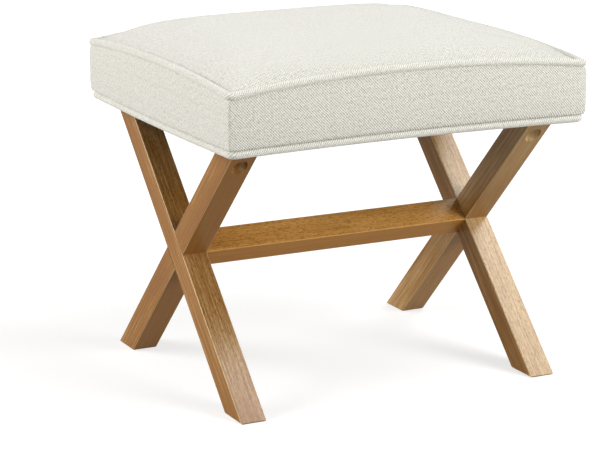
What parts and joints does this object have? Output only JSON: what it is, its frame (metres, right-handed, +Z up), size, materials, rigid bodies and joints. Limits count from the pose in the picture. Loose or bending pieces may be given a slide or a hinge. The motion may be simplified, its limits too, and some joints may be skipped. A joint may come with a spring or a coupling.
{
  "type": "x-frame stool",
  "caption": "Rectangular upholstered stool: a crowned, piped seat bolted on X-shaped wooden end frames joined by a square stretcher set on edge.",
  "frame": {"origin": "on the floor, under the middle of the seat", "axes": "+X along the seat's long side, +Y to the back, +Z up"},
  "size_m": [0.508, 0.457, 0.457],
  "materials": {
    "stained_hardwood": "satin",
    "rail_softwood": "matte",
    "deck_plywood": "matte",
    "dowel_beech": "matte",
    "cover_fabric": "matte",
    "seat_foam": "matte",
    "fibre_wadding": "matte",
    "piping_cord": "matte",
    "dust_cover_cloth": "matte",
    "zinc_steel": "satin"
  },
  "bodies": {
    "root": {"left_leg_foot_front": "stained_hardwood", "left_leg_foot_back": "stained_hardwood", "right_leg_foot_front": "stained_hardwood", "right_leg_foot_back": "stained_hardwood", "stretcher": "stained_hardwood", "stretcher_dowels": "dowel_beech", "seat_bolts": "zinc_steel", "seat_bolt_washers": "zinc_steel", "tee_nuts": "zinc_steel", "left_rail": "rail_softwood", "right_rail": "rail_softwood", "front_rail": "rail_softwood", "back_rail": "rail_softwood", "rail_dowels": "dowel_beech", "deck_panel": "deck_plywood", "deck_screws": "zinc_steel", "foam_pad": "seat_foam", "top_wadding": "fibre_wadding", "side_wadding": "fibre_wadding", "top_panel": "cover_fabric", "front_band": "cover_fabric", "back_band": "cover_fabric", "left_band": "cover_fabric", "right_band": "cover_fabric", "top_welt": "cover_fabric", "top_welt_cord": "piping_cord", "bottom_welt": "cover_fabric", "bottom_welt_cord": "piping_cord", "dust_cover": "dust_cover_cloth", "dust_cover_staples": "zinc_steel"}
  },
  "joints": []
}
